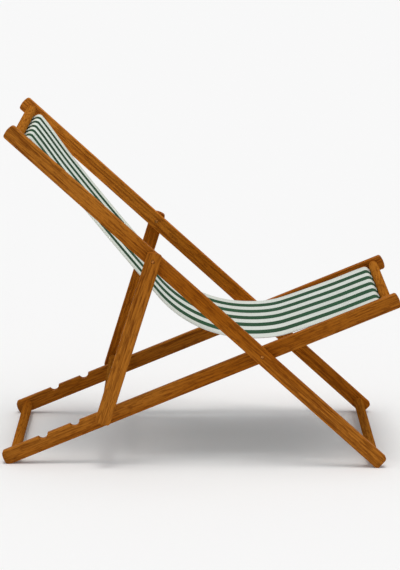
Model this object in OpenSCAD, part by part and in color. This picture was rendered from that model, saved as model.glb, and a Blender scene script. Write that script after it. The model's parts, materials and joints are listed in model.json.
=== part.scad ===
// Wooden folding deck chair with a striped cloth sling, set up in its first notch.
// Millimetres. +X is the way the sitter faces, +Y is the sitter's left, +Z is up,
// and the floor is at z = 0. Three frames turn about pivots that run along Y:
// the seat frame and the back frame cross at the main pivot, and the strut frame
// hangs from the back frame and drops its crossbar into a notch of the seat rails.

/* [Rails and struts] */
// Depth of every rail and strut, seen from the side
rail_depth = 42; // [36:1:50]
// Thickness of every rail and strut, across the chair
rail_t = 20; // [17:0.5:26]
// Rounding of the long edges
edge_r = 3; // [1:0.5:5]
// Radius of the bowed rail and strut ends
end_r = 50; // [30:1:90]
// Rounding of the two corners of each bowed end
end_corner_r = 9; // [3:0.5:9]
// Rounding of the two corners of each foot
foot_r = 10; // [6:0.5:14]
// How deep the floor cuts into a foot's lower corner, as its small flat
foot_trim = 0.4; // [0.2:0.1:1]
// Length of the floor flat under each rear end of the seat rails
tail_flat = 10; // [6:0.5:16]

/* [Lengths from the main pivot] */
// Main pivot to the top end of the back rails
back_up = 930; // [880:1:1000]
// Main pivot to the foot end of the back rails
foot_len = 455; // [430:1:500]
// Main pivot to the rear end of the seat rails
seat_rear = 777; // [740:1:840]
// Main pivot to the front end of the seat rails
seat_front = 406; // [380:1:430]
// Main pivot to the strut pivot, along the back rails
strut_pivot = 404; // [390:1:425]

/* [Struts] */
// Strut pivot to the strut crossbar
strut_l = 448; // [435:1:465]
// Strut length above its pivot
strut_head = 24; // [22:1:34]
// Strut length below its crossbar
strut_tail = 32; // [28:1:60]

/* [Notches] */
// Main pivot to the notch in use, along the seat rails
notch_first = 457; // [440:1:470]
// Distance from one notch to the next
notch_pitch = 96; // [70:1:104]
// How much wider a notch's radius is than the crossbar's
notch_clear = 1.3; // [1.1:0.1:2]
// Height of a notch's centre above the rail's top edge
notch_rise = 2.8; // [2.4:0.1:6]
// Forward lean of the notch walls from the rail's normal, in degrees
notch_lean = 23; // [16:1:26]

/* [Widths] */
// Clear width between the seat rails
seat_inner_w = 455; // [400:1:520]
// Gap between two frames that lie side by side
side_gap = 2; // [1.8:0.1:3]

/* [Dowels] */
// Diameter of the four stretchers
dowel_d = 28; // [24:1:30]
// Diameter of the strut crossbar
crossbar_d = 26; // [22:1:28]
// Diameter of the two bars that the sling runs over
sling_bar_d = 24; // [18:1:26]
// Depth of the blind holes that hold the dowels
dowel_seat = 12; // [8:0.5:14]
// Stretcher centre to the rail end
stretcher_inset = 33; // [28:1:40]
// Top stretcher to top sling bar, along the rail
top_bar_step = 33; // [30:1:42]
// Front stretcher to front sling bar, along the rail
front_bar_step = 30; // [29:1:42]
// How far the top sling bar sits above the rail's middle line
top_bar_rise = 1; // [-5:0.5:5]
// How far the front sling bar sits below the rail's middle line
front_bar_drop = 2; // [-2:0.5:5]

/* [Sling] */
// Gap between the cloth and the seat rail on each side
cloth_gap = 18; // [6:0.5:30]
// Thickness of the cloth
cloth_t = 1.4; // [1:0.1:2.5]
// Radius of the seat's hollow
sling_bend_r = 320; // [260:5:360]
// Lowest point of the cloth, distance behind the main pivot
sling_low_back = 35; // [10:1:70]
// Lowest point of the cloth, height above the main pivot
sling_low_up = 40; // [34:1:60]
// Diameter of the rods in the two hems
hem_rod_d = 12; // [10:1:14]
// Gap between a hem rod and the seat rail at each end
hem_rod_gap = 5.5; // [2:0.5:10]

/* [Pivot bolts] */
// Diameter of the bolt shanks
bolt_d = 6; // [5:0.5:8]
// Diameter of the bolt heads
bolt_head_d = 9; // [8:0.5:13]
// Height of the bolt heads
bolt_head_h = 2.2; // [1.5:0.1:3]
// Diameter of the round nuts
nut_d = 10; // [9:0.5:14]
// Thickness of the round nuts
nut_h = 4; // [3:0.5:6]
// Outer diameter of the spacer washers between frames
washer_d = 16; // [14:1:24]
// Thickness of the spacer washers
washer_t = 1.6; // [1.2:0.1:1.6]

/* [Hidden] */
$fn = 48;

wood = "#a5682b";
wood_dark = "#8a5422";
cloth = "#d9dbd3";
brass = "#b5793f";

pin_fit = 0.05;      // radial clearance of a bolt or dowel in its hole
seat_fit = 0.2;      // clearance under a bolt head, under a nut and in a hem
rest_gap = 0.3;      // what keeps a resting piece off its seat
through = 1;         // how far a cutting shape runs past a face
head_sink = 0.4;     // bolt heads and nuts end this far below the wood
recess_gap = 0.7;    // radial gap round a bolt head or nut in its recess
wrap_steps = 20;     // points along each of the cloth's curves
hem_lap = 10;        // degrees that the cloth runs on round a bar past its hem
ease_steps = 4;      // flats round each eased edge

half_d = rail_depth / 2;
dowel_r = dowel_d / 2;
crossbar_r = crossbar_d / 2;
bar_r = sling_bar_d / 2;
end_bulge = end_r - sqrt(end_r * end_r - half_d * half_d);

// Layers across the chair, from the middle outwards
seat_in = seat_inner_w / 2;
seat_out = seat_in + rail_t;
back_in = seat_out + side_gap;
back_out = back_in + rail_t;
strut_in = back_out + side_gap;
strut_out = strut_in + rail_t;

// Crossbar at rest in the first notch, in the seat rails' own plane
notch_r = crossbar_r + notch_clear;
bar_sink = notch_clear - rest_gap;
bar_s = -notch_first - bar_sink * sin(notch_lean);
bar_n = half_d + notch_rise - bar_sink * cos(notch_lean);
bar_dist = norm([bar_s, bar_n]);

// Angle between the rear halves of the two frames, from the strut triangle
opening = acos((pow(strut_pivot, 2) + pow(bar_dist, 2) - pow(strut_l, 2))
    / (2 * strut_pivot * bar_dist)) + atan2(bar_n, -bar_s);

// Seat slope at which the rear flats and the feet meet the floor together
foot_s = foot_len - foot_r;
foot_n = half_d - foot_r;
foot_up = foot_r - foot_trim;
tail_s = seat_rear - end_bulge - tail_flat;
level_u = foot_s * sin(opening) + foot_n * cos(opening) - half_d;
level_v = foot_s * cos(opening) - foot_n * sin(opening) + tail_s;
seat_slope = acos(-foot_up / norm([level_u, level_v])) - atan2(level_v, level_u);
back_slope = opening - seat_slope;

// The main pivot stands so that the whole chair is centred on the origin
pivot_x = (seat_rear - seat_front) / 2 * cos(seat_slope);
pivot_z = foot_s * sin(back_slope) + foot_n * cos(back_slope) + foot_up;

// Side-view points about the main pivot, from a place on the seat or back frame
function seat_pt(s, n) = [s * cos(seat_slope) - n * sin(seat_slope),
    s * sin(seat_slope) + n * cos(seat_slope)];
function back_pt(s, n) = [s * cos(back_slope) + n * sin(back_slope),
    -s * sin(back_slope) + n * cos(back_slope)];
function angle_of(v) = atan2(v[1], v[0]);

strut_vector = seat_pt(bar_s, bar_n) - back_pt(-strut_pivot, 0);
strut_turn = -angle_of(strut_vector) - back_slope;

top_stretcher_s = -(back_up - stretcher_inset);
top_bar_s = top_stretcher_s + top_bar_step;
front_stretcher_s = seat_front - stretcher_inset;
front_bar_s = front_stretcher_s - front_bar_step;
tail_stretcher_s = -(seat_rear - stretcher_inset);
foot_stretcher_s = foot_len - stretcher_inset;

// Cloth and rods fill the width between the seat rails
sling_w = seat_inner_w - 2 * cloth_gap;
hem_rod_l = seat_inner_w - 2 * hem_rod_gap;

// Cloth: middle line radii where it rounds a bar and a rod
wrap_r = bar_r + rest_gap + cloth_t / 2;
hem_r = hem_rod_d / 2 + seat_fit + cloth_t / 2;
top_bar = back_pt(top_bar_s, top_bar_rise);
front_bar = seat_pt(front_bar_s, -front_bar_drop);
bend = [-sling_low_back, sling_low_up + sling_bend_r];

// A rod hangs in its hem below the gap between two bars: a is left of b, and the rod's
// centre stands at far_a and far_b from theirs
function hem_centre(a, far_a, b, far_b) =
    let (d = norm(b - a), u = (b - a) / d, s = (far_a * far_a - far_b * far_b + d * d) / (2 * d))
    a + s * u + sqrt(far_a * far_a - s * s) * [u[1], -u[0]];
by_bar = wrap_r + hem_r;
by_stretcher = dowel_r + rest_gap + cloth_t / 2 + hem_r;
top_hem = hem_centre(back_pt(top_stretcher_s, 0), by_stretcher, top_bar, by_bar);
front_hem = hem_centre(front_bar, by_bar, seat_pt(front_stretcher_s, 0), by_stretcher);

back_run = bend - top_bar;
back_angle = angle_of(back_run) - asin((wrap_r + sling_bend_r) / norm(back_run));
seat_run = front_bar - bend;
seat_angle = angle_of(seat_run) + asin((wrap_r + sling_bend_r) / norm(seat_run));

// Points of an arc about c, angles in degrees
function arc(c, r, from, to, steps = wrap_steps) =
    [for (i = [0:steps]) let (a = from + (to - from) * i / steps) c + r * [cos(a), sin(a)]];

// Placing

module at_pivot() {
    translate([pivot_x, 0, pivot_z]) children();
}

module on_seat_frame() {
    at_pivot() rotate([0, -seat_slope, 0]) children();
}

module on_back_frame() {
    at_pivot() rotate([0, back_slope, 0]) children();
}

module on_strut_frame() {
    on_back_frame() translate([-strut_pivot, 0, 0]) rotate([0, strut_turn, 0]) children();
}

// side is 1 for the sitter's left and -1 for the right
module on_side(side) {
    if (side > 0) children();
    else mirror([0, 1, 0]) children();
}

// Timber

// Side outline of a length of plank that runs up to a bowed end at x = reach
module bowed_end(reach, length) {
    n = half_d - end_corner_r;
    s = sqrt(pow(end_r - end_corner_r, 2) - n * n);
    turn = atan2(n, s);
    bow = arc([reach - end_r, 0], end_r, -turn, turn);
    polygon(concat([[reach - length, half_d], [reach - length, -half_d]],
        arc([reach - end_r + s, -n], end_corner_r, -90, -turn, ease_steps * 2),
        [for (i = [1:wrap_steps - 1]) bow[i]],
        arc([reach - end_r + s, n], end_corner_r, turn, 90, ease_steps * 2)));
}

// The same up to a foot, square with round corners
module foot_end(reach, length) {
    translate([reach - length, -half_d]) square([length - foot_r, rail_depth]);
    translate([reach - length, -foot_n]) square([length, 2 * foot_n]);
    for (n = [foot_n, -foot_n]) translate([reach - foot_r, n]) circle(r = foot_r);
}

module plank_outline(rear, front, round_foot) {
    intersection() {
        mirror([1, 0]) bowed_end(rear, rear + front);
        if (round_foot) foot_end(front, rear + front);
        else bowed_end(front, rear + front);
    }
}

// A plank's cross-section with eased corners, thickness along x and depth along y
module plank_section() {
    x = rail_t / 2 - edge_r;
    y = half_d - edge_r;
    polygon([for (i = [0:3]) let (c = [[x, y], [-x, y], [-x, -y], [x, -y]][i])
        each arc(c, edge_r, i * 90, i * 90 + 90, ease_steps)]);
}

// A plank along x whose inner face stands at y = inner
module plank(rear, front, inner, round_foot = false) {
    translate([0, inner + rail_t / 2, 0]) intersection() {
        rotate([90, 0, 0]) linear_extrude(rail_t, center = true)
            plank_outline(rear, front, round_foot);
        translate([-rear - through, 0, 0]) rotate([90, 0, 90])
            linear_extrude(rear + front + 2 * through) plank_section();
    }
}

// A hole along y at s, n of a frame, from y = low to y = high
module cross_hole(s, n, r, low, high) {
    translate([s, high, n]) rotate([90, 0, 0]) cylinder(r = r, h = high - low);
}

module dowel_hole(s, n, r, inner) {
    cross_hole(s, n, r + pin_fit, inner - through, inner + dowel_seat);
}

module bolt_hole(s, inner) {
    cross_hole(s, 0, bolt_d / 2 + pin_fit, inner - through, inner + rail_t + through);
}

// Recess for a bolt head in the outer face
module head_recess(s, outer) {
    depth = bolt_head_h + head_sink + seat_fit;
    cross_hole(s, 0, bolt_head_d / 2 + recess_gap, outer - depth, outer + through);
}

// Recess for a round nut in the inner face
module nut_recess(s, inner) {
    depth = nut_h + head_sink + seat_fit;
    cross_hole(s, 0, nut_d / 2 + recess_gap, inner - through, inner + depth);
}

// An upright slot with a half-round bottom, open at the rail's top edge
module notch(s) {
    translate([s, seat_in - through, half_d + notch_rise]) rotate([-90, 0, 0])
        linear_extrude(rail_t + 2 * through) {
            circle(r = notch_r, $fn = 96);
            rotate(notch_lean) translate([-notch_r, -rail_depth])
                square([2 * notch_r, rail_depth]);
        }
}

module floor_cut() {
    reach = seat_rear + seat_front + back_up;
    translate([-reach, 0, -rail_depth]) cube([2 * reach, strut_out + through, rail_depth]);
}

module seat_rail(side) {
    color(wood) on_side(side) difference() {
        on_seat_frame() difference() {
            plank(seat_rear, seat_front, seat_in);
            bolt_hole(0, seat_in);
            nut_recess(0, seat_in);
            dowel_hole(front_stretcher_s, 0, dowel_r, seat_in);
            dowel_hole(front_bar_s, -front_bar_drop, bar_r, seat_in);
            dowel_hole(tail_stretcher_s, 0, dowel_r, seat_in);
            for (i = [0:2]) notch(-notch_first - i * notch_pitch);
        }
        floor_cut();
    }
}

module back_rail(side) {
    color(wood) on_side(side) difference() {
        on_back_frame() difference() {
            plank(back_up, foot_len, back_in, round_foot = true);
            bolt_hole(0, back_in);
            head_recess(0, back_out);
            bolt_hole(-strut_pivot, back_in);
            nut_recess(-strut_pivot, back_in);
            dowel_hole(top_stretcher_s, 0, dowel_r, back_in);
            dowel_hole(top_bar_s, top_bar_rise, bar_r, back_in);
            dowel_hole(foot_stretcher_s, 0, dowel_r, back_in);
        }
        floor_cut();
    }
}

module strut(side) {
    color(wood) on_side(side) on_strut_frame() difference() {
        plank(strut_head, strut_l + strut_tail, strut_in);
        bolt_hole(0, strut_in);
        head_recess(0, strut_out);
        dowel_hole(strut_l, 0, crossbar_r, strut_in);
    }
}

// A round bar across the chair, let into the planks whose inner faces stand at inner
module dowel(s, n, r, inner) {
    half = inner + dowel_seat - rest_gap;
    translate([s, half, n]) rotate([90, 0, 0]) cylinder(r = r, h = 2 * half);
}

module front_stretcher() {
    color(wood) on_seat_frame() dowel(front_stretcher_s, 0, dowel_r, seat_in);
}

module front_sling_bar() {
    color(wood_dark) on_seat_frame() dowel(front_bar_s, -front_bar_drop, bar_r, seat_in);
}

module tail_stretcher() {
    color(wood) on_seat_frame() dowel(tail_stretcher_s, 0, dowel_r, seat_in);
}

module top_stretcher() {
    color(wood) on_back_frame() dowel(top_stretcher_s, 0, dowel_r, back_in);
}

module top_sling_bar() {
    color(wood_dark) on_back_frame() dowel(top_bar_s, top_bar_rise, bar_r, back_in);
}

module foot_stretcher() {
    color(wood) on_back_frame() dowel(foot_stretcher_s, 0, dowel_r, back_in);
}

module strut_crossbar() {
    color(wood) on_strut_frame() dowel(strut_l, 0, crossbar_r, strut_in);
}

// Sling

function reversed(v) = [for (i = [len(v) - 1:-1:0]) v[i]];

// One face of the cloth, off its middle line by d towards the sitter
function cloth_face(d) = concat(
    arc(top_bar, wrap_r + d, angle_of(top_hem - top_bar) + hem_lap, back_angle + 90),
    arc(bend, sling_bend_r - d, back_angle - 90, seat_angle - 90),
    arc(front_bar, wrap_r + d, seat_angle + 90, angle_of(front_hem - front_bar) - hem_lap));

module hem(centre) {
    difference() {
        polygon(arc(centre, hem_r + cloth_t / 2, 0, 360));
        polygon(arc(centre, hem_r - cloth_t / 2, 0, 360));
    }
}

module sling() {
    color(cloth) at_pivot() rotate([90, 0, 0]) {
        linear_extrude(sling_w, center = true)
            polygon(concat(cloth_face(cloth_t / 2), reversed(cloth_face(-cloth_t / 2))));
        linear_extrude(sling_w, center = true) hem(top_hem);
        linear_extrude(sling_w, center = true) hem(front_hem);
    }
}

module hem_rod(centre) {
    at_pivot() translate([centre[0], 0, centre[1]]) rotate([90, 0, 0])
        cylinder(d = hem_rod_d, h = hem_rod_l, center = true);
}

module sling_rod_top() {
    color(wood_dark) hem_rod(top_hem);
}

module sling_rod_front() {
    color(wood_dark) hem_rod(front_hem);
}

// Pivots: a bolt from the outside, a washer between the frames and a round nut inside

module pivot_bolt(inner, outer) {
    head_y = outer - head_sink;
    tip_y = inner + head_sink + nut_h / 4;
    rotate([-90, 0, 0]) {
        translate([0, 0, tip_y]) cylinder(d = bolt_d, h = head_y - bolt_head_h / 2 - tip_y);
        translate([0, 0, head_y - bolt_head_h]) cylinder(d = bolt_head_d, h = bolt_head_h * 0.6);
        translate([0, 0, head_y - bolt_head_h * 0.4])
            cylinder(d1 = bolt_head_d, d2 = bolt_head_d * 0.7, h = bolt_head_h * 0.4);
    }
}

module pivot_nut(inner) {
    rotate([-90, 0, 0]) translate([0, 0, inner + head_sink]) difference() {
        cylinder(d = nut_d, h = nut_h);
        translate([0, 0, nut_h / 4 - seat_fit]) cylinder(d = bolt_d + 2 * pin_fit, h = nut_h);
    }
}

module pivot_washer(inner) {
    rotate([-90, 0, 0]) translate([0, 0, inner - (side_gap + washer_t) / 2]) difference() {
        cylinder(d = washer_d, h = washer_t);
        translate([0, 0, -through]) cylinder(d = bolt_d + 2 * pin_fit, h = washer_t + 2 * through);
    }
}

module main_pivot_bolt(side) {
    color(brass) on_side(side) at_pivot() pivot_bolt(seat_in, back_out);
}

module main_pivot_nut(side) {
    color(brass) on_side(side) at_pivot() pivot_nut(seat_in);
}

module main_pivot_washer(side) {
    color("silver") on_side(side) at_pivot() pivot_washer(back_in);
}

module on_strut_pivot() {
    on_back_frame() translate([-strut_pivot, 0, 0]) children();
}

module strut_pivot_bolt(side) {
    color(brass) on_side(side) on_strut_pivot() pivot_bolt(back_in, strut_out);
}

module strut_pivot_nut(side) {
    color(brass) on_side(side) on_strut_pivot() pivot_nut(back_in);
}

module strut_pivot_washer(side) {
    color("silver") on_side(side) on_strut_pivot() pivot_washer(strut_in);
}

echo(seat_slope = seat_slope, back_slope = back_slope, pivot_x = pivot_x, pivot_z = pivot_z);
echo(strut_pivot_xz = back_pt(-strut_pivot, 0), crossbar_xz = seat_pt(bar_s, bar_n));
echo(strut_turn = strut_turn, back_angle = back_angle, seat_angle = seat_angle);

seat_rail(1);  // seat_rail_left
seat_rail(-1);  // seat_rail_right
front_stretcher();
front_sling_bar();
tail_stretcher();
back_rail(1);  // back_rail_left
back_rail(-1);  // back_rail_right
top_stretcher();
top_sling_bar();
foot_stretcher();
strut(1);  // strut_left
strut(-1);  // strut_right
strut_crossbar();
sling();
sling_rod_top();
sling_rod_front();
main_pivot_bolt(1);  // main_pivot_bolt_left
main_pivot_bolt(-1);  // main_pivot_bolt_right
main_pivot_washer(1);  // main_pivot_washer_left
main_pivot_washer(-1);  // main_pivot_washer_right
main_pivot_nut(1);  // main_pivot_nut_left
main_pivot_nut(-1);  // main_pivot_nut_right
strut_pivot_bolt(1);  // strut_pivot_bolt_left
strut_pivot_bolt(-1);  // strut_pivot_bolt_right
strut_pivot_washer(1);  // strut_pivot_washer_left
strut_pivot_washer(-1);  // strut_pivot_washer_right
strut_pivot_nut(1);  // strut_pivot_nut_left
strut_pivot_nut(-1);  // strut_pivot_nut_right
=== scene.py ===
"""Looks of the wooden folding deck chair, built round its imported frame.

Everything is in metres and in the frame of the CAD model: +X is the way the
sitter faces, +Y the sitter's left, +Z up, and the floor is at z = 0.
"""

from __future__ import annotations

import json
import logging
import math
from dataclasses import dataclass, field
from enum import Enum
from typing import Optional, Sequence, Union

import bmesh
import bpy
from mathutils import Euler, Matrix, Vector
from mathutils.geometry import interpolate_bezier

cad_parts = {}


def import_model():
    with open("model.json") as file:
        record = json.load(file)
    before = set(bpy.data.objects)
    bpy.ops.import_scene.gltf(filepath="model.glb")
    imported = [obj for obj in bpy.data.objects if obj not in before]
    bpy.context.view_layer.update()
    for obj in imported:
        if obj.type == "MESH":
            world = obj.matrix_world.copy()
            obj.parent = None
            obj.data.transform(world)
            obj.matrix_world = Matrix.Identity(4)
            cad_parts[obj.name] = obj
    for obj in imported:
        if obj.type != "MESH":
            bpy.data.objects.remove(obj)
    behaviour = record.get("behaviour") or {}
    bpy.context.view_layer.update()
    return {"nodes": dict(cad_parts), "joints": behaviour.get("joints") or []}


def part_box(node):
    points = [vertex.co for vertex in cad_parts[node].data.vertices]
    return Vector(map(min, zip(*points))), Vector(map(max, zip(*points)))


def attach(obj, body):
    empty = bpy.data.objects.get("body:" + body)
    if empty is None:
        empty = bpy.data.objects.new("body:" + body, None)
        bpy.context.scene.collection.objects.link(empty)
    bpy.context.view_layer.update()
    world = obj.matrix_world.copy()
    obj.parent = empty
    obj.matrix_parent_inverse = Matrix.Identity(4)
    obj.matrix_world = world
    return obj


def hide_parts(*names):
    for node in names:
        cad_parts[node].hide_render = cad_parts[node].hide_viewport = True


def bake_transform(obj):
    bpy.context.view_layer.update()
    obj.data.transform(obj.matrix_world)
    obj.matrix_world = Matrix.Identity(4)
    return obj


LOG = logging.getLogger("deck_chair")
MM = 0.001
Colour = tuple[float, float, float]
Band = tuple[float, float]


class Body(Enum):
    """The bodies that the new pieces move with."""

    SEAT = "seat_frame"
    BACK = "back_frame"


class Slot(Enum):
    """The record's material slots."""

    CLOTH = "sling_cloth"
    BRASS = "pivot_brass"
    WASHERS = "washers"


class Side(Enum):
    """The two sides of the chair, as the sign of Y."""

    RIGHT = -1
    LEFT = 1

    @property
    def word(self) -> str:
        """The side's name as the CAD nodes write it."""
        return self.name.lower()


class Socket:
    """An output of a shader node, on which arithmetic adds Math nodes."""

    def __init__(self, tree: NodeTree, source: bpy.types.NodeSocket) -> None:
        """Wraps one output socket.

        Args:
            tree: The tree that the socket belongs to.
            source: The output socket itself.
        """
        self.tree = tree
        self.source = source

    def maths(self, operation: str, *values: Value) -> Socket:
        """Adds a Math node.

        Args:
            operation: The node's operation.
            values: Its inputs in order.

        Returns:
            The node's output.
        """
        return self.tree.add("ShaderNodeMath", {"operation": operation}, dict(enumerate(values)))

    def __add__(self, other: Value) -> Socket:
        """The sum."""
        return self.maths("ADD", self, other)

    def __radd__(self, other: Value) -> Socket:
        """The sum, reflected."""
        return self.maths("ADD", other, self)

    def __sub__(self, other: Value) -> Socket:
        """The difference."""
        return self.maths("SUBTRACT", self, other)

    def __rsub__(self, other: Value) -> Socket:
        """The difference, reflected."""
        return self.maths("SUBTRACT", other, self)

    def __mul__(self, other: Value) -> Socket:
        """The product."""
        return self.maths("MULTIPLY", self, other)

    def __rmul__(self, other: Value) -> Socket:
        """The product, reflected."""
        return self.maths("MULTIPLY", other, self)

    def __truediv__(self, other: Value) -> Socket:
        """The quotient."""
        return self.maths("DIVIDE", self, other)

    def __abs__(self) -> Socket:
        """The absolute value."""
        return self.maths("ABSOLUTE", self)

    def fraction(self) -> Socket:
        """The part after the point."""
        return self.maths("FRACT", self)

    def rounded(self) -> Socket:
        """The nearest whole number."""
        return self.maths("ROUND", self)

    def root(self) -> Socket:
        """The square root."""
        return self.maths("SQRT", self)

    def wave(self, length: float) -> Socket:
        """A sine of this wavelength, from 0 to 1."""
        turned = self * (2 * math.pi / length)
        return turned.maths("SINE", turned) * 0.5 + 0.5

    def rise(self, start: float, end: float) -> Socket:
        """Goes smoothly from 0 at start to 1 at end.

        Args:
            start: Where it is 0.
            end: Where it is 1, which may be less than start.

        Returns:
            The eased value, held to 0 and 1 outside.
        """
        low, high, at_low, at_high = (start, end, 0.0, 1.0) if start <= end else (end, start, 1.0, 0.0)
        settings = {"interpolation_type": "SMOOTHSTEP"}
        return self.tree.add("ShaderNodeMapRange", settings, {0: self, 1: low, 2: high, 3: at_low, 4: at_high})


Value = Union[Socket, float]
Inputs = dict[Union[int, str], Union[Socket, float, Sequence[float]]]


@dataclass(frozen=True)
class Layer:
    """A layer of soft noise: features per metre along each axis, finer layers and their strength."""

    stretch: tuple[float, float, float]
    detail: float = 2.0
    rough: float = 0.5


class NodeTree:
    """The nodes of a material or a world, built from plain expressions."""

    def __init__(self, owner: Union[bpy.types.Material, bpy.types.World]) -> None:
        """Starts with an empty tree.

        Args:
            owner: The material or world that the nodes belong to.
        """
        owner.use_nodes = True
        self.nodes = owner.node_tree.nodes
        self.links = owner.node_tree.links
        self.nodes.clear()

    def node(
        self,
        kind: str,
        settings: Optional[dict[str, object]] = None,
        inputs: Optional[Inputs] = None,
    ) -> bpy.types.Node:
        """Adds any node.

        Args:
            kind: The node's type.
            settings: Its properties, which are set first.
            inputs: Values or links of its input sockets.

        Returns:
            The node.
        """
        made = self.nodes.new(kind)
        for key, value in (settings or {}).items():
            setattr(made, key, value)
        for key, value in (inputs or {}).items():
            self.feed(made.inputs[key], value)
        return made

    def add(
        self,
        kind: str,
        settings: Optional[dict[str, object]] = None,
        inputs: Optional[Inputs] = None,
        output: Union[int, str] = 0,
    ) -> Socket:
        """Adds any node and wraps one of its outputs.

        Args:
            kind: The node's type.
            settings: Its properties, which are set first.
            inputs: Values or links of its input sockets.
            output: Which output is wanted.

        Returns:
            That output.
        """
        return Socket(self, self.node(kind, settings, inputs).outputs[output])

    def feed(self, socket: bpy.types.NodeSocket, value: Union[Socket, float, Sequence[float]]) -> None:
        """Links a socket, or sets its value.

        Args:
            socket: The input to feed.
            value: A Socket to link, a number, a vector or a colour of three numbers.
        """
        if isinstance(value, Socket):
            self.links.new(value.source, socket)
        elif isinstance(value, (int, float)):
            socket.default_value = value
        else:
            wanted = len(socket.default_value)
            socket.default_value = tuple(value) + (1.0,) * (wanted - len(value))


class ShaderTree(NodeTree):
    """A material that ends in one Principled surface."""

    def __init__(self, name: str) -> None:
        """Starts the material with its surface.

        Args:
            name: The material's name.
        """
        self.material = bpy.data.materials.new(name)
        super().__init__(self.material)
        self.surface = self.node("ShaderNodeBsdfPrincipled")
        self.node("ShaderNodeOutputMaterial", inputs={0: Socket(self, self.surface.outputs[0])})

    def object_point(self) -> Socket:
        """A place on the piece, in metres."""
        return self.add("ShaderNodeTexCoord", output="Object")

    def object_normal(self) -> Socket:
        """The piece's own normal."""
        return self.add("ShaderNodeTexCoord", output="Normal")

    def parts(self, vector: Socket) -> tuple[Socket, Socket, Socket]:
        """The three numbers of a vector."""
        split = self.node("ShaderNodeSeparateXYZ", inputs={0: vector})
        return tuple(Socket(self, out) for out in split.outputs)

    def dot(self, a: Socket, b: Sequence[float]) -> Socket:
        """The dot product of a vector and a fixed one."""
        return self.add("ShaderNodeVectorMath", {"operation": "DOT_PRODUCT"}, {0: a, 1: b}, "Value")

    def noise(self, place: Socket, layer: Layer) -> Socket:
        """Soft noise, stretched along its axes.

        Args:
            place: Where to read it.
            layer: Its scale and detail.

        Returns:
            The noise, about 0.5 on average.
        """
        scaled = self.add("ShaderNodeVectorMath", {"operation": "MULTIPLY"}, {0: place, 1: layer.stretch})
        return self.add(
            "ShaderNodeTexNoise",
            {"noise_dimensions": "3D"},
            {"Vector": scaled, "Scale": 1.0, "Detail": layer.detail, "Roughness": layer.rough},
        )

    def mix(self, a: Union[Socket, Colour], b: Union[Socket, Colour], share: Value) -> Socket:
        """Mixes two colours.

        Args:
            a: The colour at 0.
            b: The colour at 1.
            share: How much of b.

        Returns:
            The mixed colour.
        """
        settings = {"data_type": "RGBA", "blend_type": "MIX", "clamp_factor": True}
        return self.add("ShaderNodeMix", settings, {0: share, 6: a, 7: b}, 2)

    def shade(self, colour: Union[Socket, Colour], amount: Socket) -> Socket:
        """Multiplies a colour by a number that changes over the surface.

        Args:
            colour: The colour.
            amount: The number.

        Returns:
            The colour, darker below 1 and lighter above.
        """
        return self.add("ShaderNodeVectorMath", {"operation": "SCALE"}, {0: colour, "Scale": amount})

    def finish(self, colour: Socket, roughness: Value, height: Socket, depth: float) -> None:
        """Feeds the surface.

        Args:
            colour: The base colour.
            roughness: The roughness.
            height: The relief, from 0 to 1.
            depth: The relief's depth in metres.
        """
        bump = self.add("ShaderNodeBump", inputs={"Strength": 1.0, "Distance": depth, "Height": height})
        for socket, value in (("Base Color", colour), ("Roughness", roughness), ("Normal", bump)):
            self.feed(self.surface.inputs[socket], value)

    def constants(self, **values: Union[float, Colour]) -> None:
        """Sets surface values that are the same all over.

        Args:
            values: Socket names with _ for a space, and their values.
        """
        for name, value in values.items():
            self.feed(self.surface.inputs[name.replace("_", " ")], value)


@dataclass(frozen=True)
class Grain:
    """How a piece of timber lies, with its fibres along its own first axis."""

    centre: Vector
    turn: Euler
    half_thick: float
    half_deep: float
    seed: float
    # Painted light: a brightness factor on the whole piece, lighter or darker where light falls differently on it.
    tone: float = 1.0

    def direction(self) -> Vector:
        """The way the fibres run."""
        return self.turn.to_matrix() @ Vector((1.0, 0.0, 0.0))


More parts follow.
